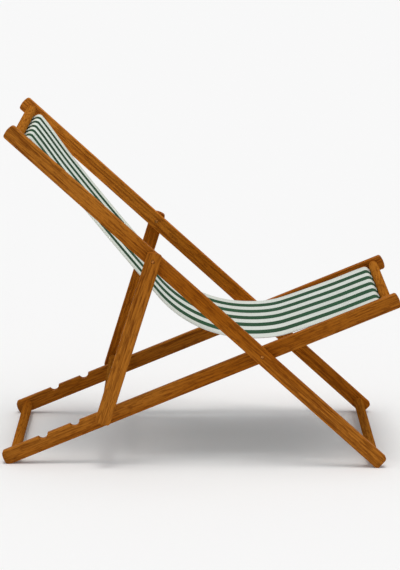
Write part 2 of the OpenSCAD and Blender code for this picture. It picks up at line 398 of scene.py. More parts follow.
@dataclass(frozen=True)
class TimberFinish:
    """Oiled hardwood: growth rings, long fibre streaks, pores and end grain.

    A band says where a pattern sets in and where it is full, a share how much of its colour is mixed in, and a
    light how much it brightens. The log's heart lies off a piece across its thickness and its depth, each time at a
    least distance and some steps that go with the piece's seed.
    """

    pale: Colour = (0.520, 0.185, 0.022)
    body: Colour = (0.372, 0.106, 0.006)
    dark: Colour = (0.150, 0.034, 0.003)
    pore: Colour = (0.060, 0.016, 0.003)
    heart_least: tuple[float, float] = (0.030, 0.045)
    heart_step: tuple[float, float] = (0.011, 0.017)
    heart_steps: tuple[float, float] = (3.0, 2.0)
    ring_step: float = 7.5 * MM
    ring_sway: tuple[float, float] = (0.030, 0.045)
    ring_band: Band = (0.15, 0.92)
    ring_end: Band = (1.0, 0.94)
    ring_streaks: Band = (0.25, 0.6)
    ring_share: float = 0.34
    patch_band: Band = (0.34, 0.68)
    streak_band: Band = (0.50, 0.74)
    streak_share: float = 0.80
    pale_band: Band = (0.46, 0.30)
    pale_share: float = 0.35
    fleck_band: Band = (0.49, 0.62)
    fleck_share: float = 0.56
    fibre_light: float = 0.56
    base_light: float = 0.74
    pore_band: Band = (0.60, 0.70)
    pore_share: float = 0.45
    end_band: Band = (0.55, 0.92)
    end_share: float = 0.45
    end_rings: float = 0.5
    end_dark: float = 0.25
    speckle_light: float = 0.8
    end_light: float = 0.55
    edge_band: Band = (3.6 * MM, 0.6 * MM)
    edge_share: float = 0.26
    wear_band: Band = (0.36, 0.62)
    # Darker in patches towards the floor: the heights in metres where it sets in and where it is full.
    low_darkening_height: Band = (0.045, 0.004)
    low_darkening_band: Band = (0.30, 0.66)
    low_darkening_share: float = 0.35
    rough: float = 0.52
    streak_rough: float = 0.16
    end_rough: float = 0.18
    wear_rough: float = 0.10
    pore_rough: float = 0.10
    relief: float = 0.16 * MM
    streak_relief: float = 0.35
    fibre_relief: float = 0.45
    pore_relief: float = 0.7
    mid_relief: float = 0.5
    gloss: float = 0.012
    seed_steps: tuple[float, float, float] = (1.37, 0.61, 0.83)
    sway: Layer = Layer((1.7, 9.0, 9.0), 1.5)
    streaks: Layer = Layer((3.2, 150.0, 150.0), 3.0, 0.62)
    fibres: Layer = Layer((11.0, 520.0, 520.0), 2.0, 0.6)
    flecks: Layer = Layer((28.0, 250.0, 250.0), 2.0, 0.6)
    patches: Layer = Layer((1.1, 7.0, 7.0), 1.0)
    pores: Layer = Layer((38.0, 1500.0, 1500.0), 1.0)
    speckles: Layer = Layer((60.0, 900.0, 900.0), 1.0)
    wear: Layer = Layer((9.0, 60.0, 60.0), 2.0)
    low_darkening: Layer = Layer((60.0, 60.0, 60.0), 2.0)

    def material(self, name: str, grain: Grain) -> bpy.types.Material:
        """Builds the timber of one piece.

        Args:
            name: The material's name.
            grain: How the piece's fibres lie.

        Returns:
            The material.
        """
        tree = ShaderTree(name)
        place = tree.object_point()
        local = tree.add(
            "ShaderNodeMapping",
            {"vector_type": "TEXTURE"},
            {"Vector": place, "Location": tuple(grain.centre), "Rotation": tuple(grain.turn)},
        )
        _, thick, deep = tree.parts(local)
        shift = tuple(grain.seed * step for step in self.seed_steps)
        log = tree.add("ShaderNodeVectorMath", {"operation": "ADD"}, {0: local, 1: shift})

        sway = tree.noise(log, self.sway) - 0.5
        heart = [
            least + step * (grain.seed % steps)
            for least, step, steps in zip(self.heart_least, self.heart_step, self.heart_steps)
        ]
        a = thick + heart[0] + sway * self.ring_sway[0]
        b = deep + heart[1] + sway * self.ring_sway[1]
        ring = ((a * a + b * b).root() / self.ring_step).fraction()
        late = ring.rise(*self.ring_band) * ring.rise(*self.ring_end)

        streak = tree.noise(log, self.streaks)
        fibre = tree.noise(log, self.fibres)
        fleck = tree.noise(log, self.flecks)
        patch = tree.noise(log, self.patches)
        pores = tree.noise(log, self.pores).rise(*self.pore_band)

        colour = tree.mix(self.body, self.pale, patch.rise(*self.patch_band))
        colour = tree.mix(colour, self.dark, late * self.ring_share * streak.rise(*self.ring_streaks))
        colour = tree.mix(colour, self.dark, streak.rise(*self.streak_band) * self.streak_share)
        colour = tree.mix(colour, self.pale, streak.rise(*self.pale_band) * self.pale_share)
        colour = tree.mix(colour, self.dark, fleck.rise(*self.fleck_band) * self.fleck_share)
        # The grain's tone is painted light and shade on the whole piece.
        colour = tree.shade(colour, fibre * self.fibre_light + self.base_light * grain.tone)
        colour = tree.mix(colour, self.pore, pores * self.pore_share)

        across = tree.dot(tree.object_normal(), tuple(grain.direction()))
        end = abs(across).rise(*self.end_band)
        speckle = tree.noise(log, self.speckles)
        sawn = tree.mix(self.body, self.dark, late * self.end_rings + self.end_dark)
        sawn = tree.shade(sawn, speckle * self.speckle_light + self.end_light)
        colour = tree.mix(colour, sawn, end * self.end_share)

        start, stop = self.edge_band
        edge = abs(thick).rise(grain.half_thick - start, grain.half_thick - stop)
        edge = edge * abs(deep).rise(grain.half_deep - start, grain.half_deep - stop)
        worn = edge * tree.noise(log, self.wear).rise(*self.wear_band)
        colour = tree.mix(colour, self.pale, worn * self.edge_share)

        # Darker in patches towards the floor, within the lowest 45 mm.
        low = tree.parts(place)[2].rise(*self.low_darkening_height)
        low_darkening = low * tree.noise(place, self.low_darkening).rise(*self.low_darkening_band)
        colour = tree.mix(colour, self.pore, low_darkening * self.low_darkening_share)

        rough = streak * self.streak_rough + (self.rough - self.streak_rough / 2)
        rough = rough + end * self.end_rough + worn * self.wear_rough + pores * self.pore_rough
        relief = streak * self.streak_relief + fibre * self.fibre_relief - pores * self.pore_relief + self.mid_relief
        tree.finish(colour, rough, relief, self.relief)
        tree.constants(Specular_IOR_Level=self.gloss)
        return tree.material


@dataclass(frozen=True)
class ClothFinish:
    """Striped woven canvas, its stripes dyed in the yarn; the back part has painted light and shade, a lighter white
    and a darker green.
    """

    white: Colour = (0.720, 0.760, 0.705)
    soiled: Colour = (0.560, 0.580, 0.530)
    # Painted light: the lighter white of the back part.
    painted_lit_white: Colour = (0.815, 0.885, 0.800)
    green: Colour = (0.028, 0.078, 0.040)
    faded_green: Colour = (0.030, 0.100, 0.050)
    # Painted shade: the darker green of the back part.
    painted_shade_green: Colour = (0.020, 0.056, 0.028)
    # Where the painted light and shade of the back part is full and where it ends, along the cloth from its top.
    painted_back_band: Band = (0.82, 0.40)
    soil_band: Band = (0.42, 0.70)
    soil_share: float = 0.55
    fade_band: Band = (0.40, 0.68)
    fade_share: float = 0.6
    pitch: float = 75.5 * MM
    stripe: float = 38.0 * MM
    stripe_edge: float = 0.25 * MM
    stripe_fray: float = 1.2 * MM
    count: int = 5
    count_edge: float = 0.1
    warp: float = 0.80 * MM
    weft: float = 0.95 * MM
    twill_threads: float = 2.0
    slub_light: float = 0.16
    rib_light: float = 0.10
    twill_light: float = 0.07
    weave_light: float = 0.05
    base_light: float = 0.80
    relief: float = 0.22 * MM
    thread_relief: float = 0.3
    slub_relief: float = 0.25
    rough: float = 0.92
    dyed_smooth: float = 0.06
    gloss: float = 0.06
    fray: Layer = Layer((900.0, 700.0, 1.0), 1.0)
    slubs: Layer = Layer((420.0, 7.0, 1.0), 2.0)
    ribs: Layer = Layer((5.0, 380.0, 1.0), 2.0)
    fading: Layer = Layer((4.5, 3.2, 1.0), 3.0)

    def material(self, name: str, uv_map: str) -> bpy.types.Material:
        """Builds the canvas.

        Args:
            name: The material's name.
            uv_map: The map that holds the place across and along the cloth, in metres.

        Returns:
            The material.
        """
        tree = ShaderTree(name)
        place = tree.add("ShaderNodeUVMap", {"uv_map": uv_map})
        across, along, _ = tree.parts(place)

        nearest = (across / self.pitch).rounded()
        fray = (tree.noise(place, self.fray) - 0.5) * self.stripe_fray
        off = abs(across - nearest * self.pitch) + fray
        half = self.stripe / 2
        dyed = off.rise(half + self.stripe_edge, half - self.stripe_edge)
        dyed = dyed * abs(nearest).rise(self.count / 2 + self.count_edge, self.count / 2 - self.count_edge)

        over = across.wave(self.warp)
        under = along.wave(self.weft)
        twill = (across / self.warp + along / self.weft).wave(self.twill_threads)
        slub = tree.noise(place, self.slubs)
        rib = tree.noise(place, self.ribs)
        faded = tree.noise(place, self.fading)

        # Painted light and shade on the back part: the white is lightened and the green darkened towards the top of
        # the cloth.
        painted_back_share = along.rise(*self.painted_back_band)
        white = tree.mix(self.white, self.painted_lit_white, painted_back_share)
        white = tree.mix(white, self.soiled, faded.rise(*self.soil_band) * self.soil_share)
        green = tree.mix(self.green, self.painted_shade_green, painted_back_share)
        green = tree.mix(green, self.faded_green, faded.rise(*self.fade_band) * self.fade_share)
        tone = slub * self.slub_light + rib * self.rib_light + twill * self.twill_light
        tone = tone + over * under * self.weave_light + self.base_light
        colour = tree.shade(tree.mix(white, green, dyed), tone)

        relief = over * self.thread_relief + under * self.thread_relief + twill * self.thread_relief
        relief = relief + slub * self.slub_relief
        tree.finish(colour, self.rough - dyed * self.dyed_smooth, relief, self.relief)
        tree.constants(Specular_IOR_Level=self.gloss)
        return tree.material


@dataclass(frozen=True)
class ThreadFinish:
    """The sewing thread of the hems."""

    colour: Colour = (0.62, 0.62, 0.56)
    twist_light: float = 0.5
    base_light: float = 0.72
    rough: float = 0.8
    relief: float = 0.05 * MM
    strands: Layer = Layer((2500.0, 2500.0, 2500.0), 1.0)

    def material(self, name: str) -> bpy.types.Material:
        """Builds the thread.

        Args:
            name: The material's name.

        Returns:
            The material.
        """
        tree = ShaderTree(name)
        twist = tree.noise(tree.object_point(), self.strands)
        colour = tree.shade(self.colour, twist * self.twist_light + self.base_light)
        tree.finish(colour, self.rough, twist, self.relief)
        return tree.material


@dataclass(frozen=True)
class MetalFinish:
    """Metal that has dulled outdoors."""

    bright: Colour = (0.62, 0.250, 0.062)
    dull: Colour = (0.090, 0.024, 0.004)
    tarnish: float = 0.80
    rough: float = 0.30
    bloom_rough: float = 0.26
    scratch_rough: float = 0.14
    bloom_band: Band = (0.36, 0.66)
    relief: float = 0.04 * MM
    blooms: Layer = Layer((420.0, 420.0, 420.0), 3.0, 0.6)
    scratches: Layer = Layer((3000.0, 500.0, 700.0), 2.0)

    def material(self, name: str) -> bpy.types.Material:
        """Builds the metal.

        Args:
            name: The material's name.

        Returns:
            The material.
        """
        tree = ShaderTree(name)
        place = tree.object_point()
        bloom = tree.noise(place, self.blooms).rise(*self.bloom_band)
        scratch = tree.noise(place, self.scratches)
        colour = tree.mix(self.bright, self.dull, bloom * self.tarnish)
        rough = bloom * self.bloom_rough + scratch * self.scratch_rough + (self.rough - self.scratch_rough / 2)
        tree.finish(colour, rough, scratch, self.relief)
        tree.constants(Metallic=1.0)
        return tree.material


DULL_BRASS = MetalFinish()
DULL_ZINC = MetalFinish(bright=(0.55, 0.55, 0.54), dull=(0.25, 0.25, 0.25), tarnish=0.5, rough=0.42)


@dataclass(frozen=True)
class FloorFinish:
    """The plain pale floor of the studio."""

    colour: Colour = (0.945, 0.945, 0.945)

    def material(self, name: str) -> bpy.types.Material:
        """Builds the floor's paint.

        Args:
            name: The material's name.

        Returns:
            The material.
        """
        tree = ShaderTree(name)
        tree.constants(Base_Color=self.colour, Roughness=1.0, Specular_IOR_Level=0.0)
        return tree.material


def ease(value: float, start: float, end: float) -> float:
    """A smooth rise from 0 at start to 1 at end.

    Args:
        value: Where to read it.
        start: Where it leaves 0.
        end: Where it reaches 1.

    Returns:
        The share.
    """
    share = min(max((value - start) / (end - start), 0.0), 1.0)
    return share * share * (3 - 2 * share)


def polar(centre: Vector, radius: float, angle: float) -> Vector:
    """A point of the side view round a centre.

    Args:
        centre: The centre, as x and z.
        radius: The distance from it.
        angle: The direction in radians, from +X towards +Z.

    Returns:
        The point.
    """
    return centre + radius * Vector((math.cos(angle), math.sin(angle)))


def heading(start: Vector, end: Vector) -> float:
    """The direction from one point of the side view to another.

    Args:
        start: The first point.
        end: The second point.

    Returns:
        The angle in radians, from +X towards +Z.
    """
    return math.atan2(end[1] - start[1], end[0] - start[0])


@dataclass
class Route:
    """A line in the side view that the cloth follows, as points x, z."""

    points: list[Vector] = field(default_factory=list)
    least_step: float = 0.02 * MM
    bend_points: int = 9

    def arc(self, centre: Vector, radius: float, start: float, end: float, step: float) -> None:
        """Runs round a centre.

        Args:
            centre: The centre.
            radius: The radius.
            start: The first angle in radians.
            end: The last angle in radians.
            step: The longest distance between points.
        """
        count = max(2, math.ceil(abs(end - start) * radius / step))
        self.join([polar(centre, radius, start + (end - start) * i / count) for i in range(count + 1)])

    def join(self, more: Sequence[Vector]) -> None:
        """Adds points, leaving out one that repeats the last.

        Args:
            more: The points.
        """
        for point in more:
            if not self.points or (point - self.points[-1]).length > self.least_step:
                self.points.append(Vector(point))

    def straight(self, end: Vector, step: float) -> None:
        """Runs straight on to a point.

        Args:
            end: The point.
            step: The longest distance between points.
        """
        start = self.points[-1]
        count = max(2, math.ceil((end - start).length / step))
        self.join([start.lerp(end, i / count) for i in range(1, count + 1)])

    def curve(self, end: Vector, leave: float, arrive: float, pull: float) -> None:
        """Runs on to a point in a smooth bend.

        Args:
            end: The point.
            leave: The direction at the start, in radians.
            arrive: The direction at the end, in radians.
            pull: How far each end keeps its direction.
        """
        start = self.points[-1]
        handles = polar(start, pull, leave), polar(end, -pull, arrive)
        bend = interpolate_bezier(start, *handles, end, self.bend_points)
        self.join([Vector((p[0], p[1])) for p in bend])

    def lengths(self) -> list[float]:
        """Measures along the line.

        Returns:
            The distance from the start to each point.
        """
        total = [0.0]
        for one, two in zip(self.points, self.points[1:]):
            total.append(total[-1] + (two - one).length)
        return total

    def normals(self) -> list[Vector]:
        """Finds which way the line's left side faces.

        Returns:
            The left-hand normal at each point.
        """
        made = []
        last = len(self.points) - 1
        for i in range(last + 1):
            ahead = self.points[min(i + 1, last)] - self.points[max(i - 1, 0)]
            made.append(Vector((-ahead[1], ahead[0])).normalized())
        return made


def show(name: str, data: bpy.types.Mesh, sharp: float) -> bpy.types.Object:
    """Puts a mesh into the scene.

    Args:
        name: The piece's name.
        data: Its mesh.
        sharp: The angle in degrees above which an edge stays sharp.

    Returns:
        The piece, at the origin.
    """
    data.shade_smooth()
    data.set_sharp_from_angle(angle=math.radians(sharp))
    made = bpy.data.objects.new(name, data)
    bpy.context.scene.collection.objects.link(made)
    LOG.info("%s: %d vertices, %d faces", name, len(data.vertices), len(data.polygons))
    return made


def mesh_object(
    name: str,
    mesh: bmesh.types.BMesh,
    material: bpy.types.Material,
    sharp: float = 35.0,
) -> bpy.types.Object:
    """Makes a piece of a bmesh.

    Args:
        name: The piece's name.
        mesh: Its shape, which is freed.
        material: Its finish.
        sharp: The angle in degrees above which an edge stays sharp.

    Returns:
        The piece, at the origin.
    """
    data = bpy.data.meshes.new(name)
    mesh.to_mesh(data)
    mesh.free()
    data.materials.append(material)
    return show(name, data, sharp)


def middle(node: str) -> Vector:
    """The centre of a CAD node.

    Args:
        node: The node's name.

    Returns:
        Its centre.
    """
    low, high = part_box(node)
    return (low + high) / 2


def side_middle(node: str) -> Vector:
    """The centre of a CAD node in the side view, as x and z."""
    centre = middle(node)
    return Vector((centre.x, centre.z))


@dataclass(frozen=True)
class RailPair:
    """Two rails that lie from a joint towards a bar, with the seed of their grain and their painted light and shade,
    a brightness factor for the near and the far rail.
    """

    stem: str
    joint: str
    bar: str
    seed: float
    near_painted_light: float
    far_painted_light: float


@dataclass
class Timber:
    """The rails, struts and round bars, which keep their CAD shapes."""

    thickness: float = 20 * MM
    depth: float = 42 * MM
    # Painted shade: the strut crossbar is darkened, standing in for the shade it lies in.
    crossbar_painted_shade: float = 0.86
    far_seed: float = 2.3
    round_seed: float = 12.0
    round_seed_step: float = 1.7
    no_edge: float = 1.0
    rail_finish: TimberFinish = TimberFinish()
    dowel_finish: TimberFinish = TimberFinish(
        pale=(0.460, 0.165, 0.020),
        body=(0.355, 0.110, 0.008),
        streak_share=0.55,
        ring_share=0.22,
        edge_share=0.0,
        rough=0.50,
        gloss=0.0,
    )
    rod_finish: TimberFinish = TimberFinish(body=(0.33, 0.12, 0.03), edge_share=0.0, rough=0.55)
    # The last two numbers of each pair are painted light and shade, a brightness factor for the near and the far
    # rail.
    rails: tuple[RailPair, ...] = (
        RailPair("seat_rail", "fold", "front_stretcher", 1.0, 0.88, 0.96),
        RailPair("back_rail", "fold", "foot_stretcher", 4.0, 0.98, 1.36),
        RailPair("strut", "strut_swing", "strut_crossbar", 8.0, 0.92, 1.06),
    )
    dowels: tuple[str, ...] = (
        "front_stretcher",
        "tail_stretcher",
        "top_stretcher",
        "foot_stretcher",
        "strut_crossbar",
        "front_sling_bar",
        "top_sling_bar",
    )
    rods: tuple[str, ...] = ("sling_rod_front", "sling_rod_top")

    def dress(self, nodes: dict[str, bpy.types.Object], places: dict[str, Vector]) -> None:
        """Gives every wooden node its own timber.

        Args:
            nodes: The CAD nodes by name.
            places: The joints' places by name, which the rails are laid out from.
        """
        for pair in self.rails:
            pivot = places[pair.joint]
            ahead = middle(pair.bar) - pivot
            turn = Euler((0.0, -math.atan2(ahead.z, ahead.x), 0.0))
            for side in Side:
                name = f"{pair.stem}_{side.word}"
                centre = Vector((pivot.x, middle(name).y, pivot.z))
                near = side is Side.RIGHT
                # Painted light: the near and the far rail each get their own brightness, standing in for how light
                # falls on each side.
                shift, tone = (0.0, pair.near_painted_light) if near else (self.far_seed, pair.far_painted_light)
                grain = Grain(centre, turn, self.thickness / 2, self.depth / 2, pair.seed + shift, tone)
                self.paint(nodes[name], self.rail_finish, grain)
        sideways = Euler((0.0, 0.0, math.pi / 2))
        for finish, names in ((self.dowel_finish, self.dowels), (self.rod_finish, self.rods)):
            for index, name in enumerate(names):
                # Painted shade on the strut crossbar; the other round bars keep their colour.
                tone = self.crossbar_painted_shade if name == "strut_crossbar" else 1.0
                seed = self.round_seed + self.round_seed_step * index
                grain = Grain(middle(name), sideways, self.no_edge, self.no_edge, seed, tone)
                self.paint(nodes[name], finish, grain)

    def paint(self, node: bpy.types.Object, finish: TimberFinish, grain: Grain) -> None:
        """Puts a finish on one CAD node.

        Args:
            node: The node.
            finish: The timber's finish.
            grain: How its fibres lie.
        """
        node.data.materials.clear()
        node.data.materials.append(finish.material(f"timber_{node.name}", grain))
        LOG.info("%s: timber, fibres along %s", node.name, tuple(round(x, 3) for x in grain.direction()))


@dataclass
class Sling:
    """The striped cloth: hems round two rods, over two bars, in a hollow between."""

    width: float = 419 * MM
    thick: float = 1.2 * MM
    hem_thick: float = 1.7 * MM
    hem_wide: float = 11 * MM
    hem_slope: float = 0.8 * MM
    hem_margin: float = 0.2 * MM
    layer: float = 1.4 * MM
    clearance: float = 0.3 * MM
    rod_clearance: float = 0.2 * MM
    hollow_radius: float = 320 * MM
    hollow_back: float = 35 * MM
    hollow_up: float = 40 * MM
    back_sag: float = 3.2 * MM
    seat_sag: float = 4.5 * MM
    sag_power: float = 1.5
    crown: float = 4.0 * MM
    crown_share: float = 0.74
    crown_spread: float = 0.20
    slack: float = 5.8 * MM
    slack_share: float = 0.79
    slack_spread: float = 0.065
    back_slack: float = 4.2 * MM
    back_slack_in: float = 0.12
    back_slack_out: Band = (0.70, 0.36)
    ripple: float = 0.45 * MM
    ripple_reach: float = 0.045
    ripple_waves: tuple[tuple[float, float], ...] = ((0.041, 0.8), (0.113, 2.0))
    lap: float = math.radians(9)
    lap_ahead: float = math.radians(6)
    lap_pull: float = 3.0 * MM
    hem_step: float = 1.6 * MM
    lap_step: float = 1.5 * MM
    wrap_step: float = 1.8 * MM
    straight_step: float = 14 * MM
    hollow_step: float = 8 * MM
    columns: int = 72
    grid_digits: int = 5
    stitch: float = 3.3 * MM
    stitch_step: float = 4.4 * MM
    stitch_inside: float = 2.2 * MM
    stitch_proud: float = 0.05 * MM
    stitch_run_on: float = 22 * MM
    thread: float = 0.55 * MM
    thread_flat: float = 0.8
    cloth_crease: float = 50.0
    thread_crease: float = 180.0
    uv_map: str = "cloth"
    blend_start: tuple[float, float, float] = (-0.200, 0.0, 0.080)
    blend_end: tuple[float, float, float] = (0.060, 0.0, 0.050)
    finish: ClothFinish = ClothFinish()
    thread_finish: ThreadFinish = ThreadFinish()
    route: Route = field(default_factory=Route)
    flats: tuple[float, ...] = ()
    rod_radius: float = field(init=False, default=0.0)
    wrap_radius: float = field(init=False, default=0.0)

    def hem(self, bar: Vector, rest: Vector, rod: Vector, turn: int) -> list[Vector]:
        """The cloth from where it leaves the bar, round the rod, to its free end.

        Args:
            bar: The centre of the bar that the cloth runs over.
            rest: The centre of the stretcher beside it.
            rod: The centre of the rod.
            turn: 1 where it turns from +X to +Z round the rod, -1 the other way.

        Returns:
            The points.
        """
        radius = self.rod_radius + self.rod_clearance + self.layer / 2
        first = heading(rod, bar)
        sweep = ((heading(rod, rest) - first) * turn) % (2 * math.pi)
        last = first + turn * sweep
        part = Route()
        part.arc(rod, radius, first, last, self.hem_step)
        outer = self.wrap_radius + self.layer
        entry = heading(bar, rest) - turn * self.lap_ahead
        quarter = turn * math.pi / 2
        part.curve(polar(bar, outer, entry), last + quarter, entry + quarter, self.lap_pull)
        part.arc(bar, outer, entry, entry + turn * self.lap, self.lap_step)
        return part.points

    def lay(self, pivot: Vector) -> None:
        """Works out the cloth's line in the side view.

        Args:
            pivot: The main pivot, as x and z.
        """
        low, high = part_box("sling_rod_top")
        self.rod_radius = (high.x - low.x) / 2
        low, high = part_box("top_sling_bar")
        self.wrap_radius = (high.x - low.x) / 2 + self.clearance + self.layer / 2
        top, front = side_middle("top_sling_bar"), side_middle("front_sling_bar")
        hollow = pivot + Vector((-self.hollow_back, self.hollow_up + self.hollow_radius))
        both = self.wrap_radius + self.hollow_radius
        quarter = math.pi / 2
        back = heading(top, hollow) - math.asin(both / (hollow - top).length)
        seat = heading(hollow, front) + math.asin(both / (front - hollow).length)

        top_rod, front_rod = side_middle("sling_rod_top"), side_middle("sling_rod_front")
        route = self.route
        route.join(list(reversed(self.hem(top, side_middle("top_stretcher"), top_rod, -1))))
        route.arc(top, self.wrap_radius, heading(top, top_rod), back + quarter, self.wrap_step)
        marks = [route.lengths()[-1]]
        route.straight(polar(hollow, self.hollow_radius, back - quarter), self.straight_step)
        marks.append(route.lengths()[-1])
        route.arc(hollow, self.hollow_radius, back - quarter, seat - quarter, self.hollow_step)
        marks.append(route.lengths()[-1])
        route.straight(polar(front, self.wrap_radius, seat + quarter), self.straight_step)
        marks.append(route.lengths()[-1])
        route.arc(front, self.wrap_radius, seat + quarter, heading(front, front_rod), self.wrap_step)
        route.join(self.hem(front, side_middle("front_stretcher"), front_rod, 1))
        self.flats = tuple(marks)

    def settle(self, along: float, across: float) -> float:
        """How far the cloth stands off its line, towards the sitter.

        Args:
            along: The distance along the line.
            across: The place across, from the middle.

        Returns:
            The distance in metres.
        """
        start, low, high, end = self.flats
        shift = 0.0
        for sag, first, last in ((self.back_sag, start, low), (self.seat_sag, high, end)):
            if first < along < last:
                shift -= sag * math.sin(math.pi * (along - first) / (last - first)) ** self.sag_power
        if start < along < end:
            share = (along - start) / (end - start)
            bell = math.exp(-(((share - self.crown_share) / self.crown_spread) ** 2))
            edge = 2 * across / self.width
            shift += self.crown * (bell * math.sin(math.pi * share)) * (1 - edge * edge)
            shift -= self.slack * math.exp(-(((share - self.slack_share) / self.slack_spread) ** 2))
            shift -= self.back_slack * ease(share, 0.0, self.back_slack_in) * ease(share, *self.back_slack_out)
            near = math.exp(-min(along - start, end - along) / self.ripple_reach)
            pull = math.prod(math.sin(across * 2 * math.pi / wave + phase) for wave, phase in self.ripple_waves)
            shift += self.ripple * near * (1 - near) * 4 * pull
        return shift

    def place(self, along: float, across: float, normal: Vector, point: Vector, off: float = 0.0) -> Vector:
        """A point of the settled cloth.

        Args:
            along: The distance along the line.
            across: The place across, from the middle.
            normal: The line's normal there, towards the sitter.
            point: The line's point there.
            off: A further distance along the normal.

        Returns:
            The point in space.
        """
        spot = point + normal * (self.settle(along, across) + off)
        return Vector((spot[0], across, spot[1]))

    def sheet_mesh(self) -> bmesh.types.BMesh:
        """The cloth's middle surface as a grid that follows the line.

        Returns:
            The grid, with its map in metres and its thickness in a deform layer.
        """
        points, lengths, normals = self.route.points, self.route.lengths(), self.route.normals()
        mesh = bmesh.new()
        hem = mesh.verts.layers.deform.verify()
        uv = mesh.loops.layers.uv.new(self.uv_map)
        bmesh.ops.create_grid(mesh, x_segments=len(points) - 1, y_segments=self.columns, size=1.0)
        digits = self.grid_digits
        row_of, column_of = (
            {place: i for i, place in enumerate(sorted({round(v.co[axis], digits) for v in mesh.verts}))}
            for axis in (0, 1)
        )
        spots = {}
        for vert in mesh.verts:
            row = row_of[round(vert.co.x, digits)]
            across = self.column_place(column_of[round(vert.co.y, digits)])
            spots[vert] = (across, lengths[row])
            vert.co = self.place(lengths[row], across, normals[row], points[row])
            in_hem = abs(across) > self.width / 2 - self.hem_wide + self.hem_margin
            vert[hem][0] = 1.0 if in_hem else self.thick / self.hem_thick
        for face in mesh.faces:
            for loop in face.loops:
                loop[uv].uv = spots[loop.vert]
        LOG.info("sling: %d rows of %d, %.3f m long", len(points), len(column_of), lengths[-1])
        return mesh

    def column_place(self, column: int) -> float:
        """Where a column of the grid stands across the cloth.

        Args:
            column: Its number.

        Returns:
            The place across, from the middle.
        """
        outer = -self.width / 2
        seam = outer + self.hem_wide
        inner = seam + self.hem_slope
        if column < 2:
            return (outer, seam)[column]
        if column > self.columns - 2:
            return -(outer, seam)[self.columns - column]
        return inner + (column - 2) * (-2 * inner) / (self.columns - 4)

    def stitches(self) -> bmesh.types.BMesh:
        """The rows of stitches along both side hems, on both faces.

        Returns:
            The stitches.
        """
        points, lengths, normals = self.route.points, self.route.lengths(), self.route.normals()
        mesh = bmesh.new()
        size = Matrix.Diagonal((self.stitch, self.thread, self.thread * self.thread_flat, 1.0))
        start, end = self.flats[0] - self.stitch_run_on, self.flats[-1] + self.stitch_run_on
        index = 0
        for number in range(int((end - start) / self.stitch_step)):
            along = start + (number + 0.5) * self.stitch_step
            while index < len(lengths) - 2 and lengths[index + 1] < along:
                index += 1
            share = (along - lengths[index]) / (lengths[index + 1] - lengths[index])
            point = points[index].lerp(points[index + 1], share)
            normal = normals[index].lerp(normals[index + 1], share).normalized()
            ahead = points[index + 1] - points[index]
            turn = Matrix.Rotation(-math.atan2(ahead[1], ahead[0]), 4, "Y")
            for side in Side:
                across = side.value * (self.width / 2 - self.hem_wide + self.stitch_inside)
                for face in (1, -1):
                    off = face * (self.hem_thick / 2 + self.stitch_proud)
                    spot = self.place(along, across, normal, point, off)
                    bmesh.ops.create_icosphere(
                        mesh, subdivisions=1, radius=0.5, matrix=Matrix.Translation(spot) @ turn @ size
                    )
        return mesh

    def build(self, pivot: Vector) -> None:
        """Makes the cloth and its stitches.

        Args:
            pivot: The main pivot, as x and z.
        """
        self.lay(pivot)
        fabric = self.finish.material("striped_canvas", self.uv_map)
        blank = mesh_object("sling_surface", self.sheet_mesh(), fabric)
        group = blank.vertex_groups.new(name="hem")
        wall = blank.modifiers.new("thickness", "SOLIDIFY")
        wall.thickness = self.hem_thick
        wall.offset = 0.0
        wall.vertex_group = group.name
        wall.use_even_offset = True
        bpy.context.view_layer.update()
        ready = blank.evaluated_get(bpy.context.evaluated_depsgraph_get())
        data = bpy.data.meshes.new_from_object(ready)
        bpy.data.objects.remove(blank)
        data.name = "sling_cloth"
        cloth = show("sling_cloth", data, self.cloth_crease)
        thread = self.thread_finish.material("hem_thread")
        seams = mesh_object("sling_stitches", self.stitches(), thread, self.thread_crease)

        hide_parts("sling")
        for piece in (cloth, seams):
            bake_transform(piece)
        self.route.lengths()[-1]


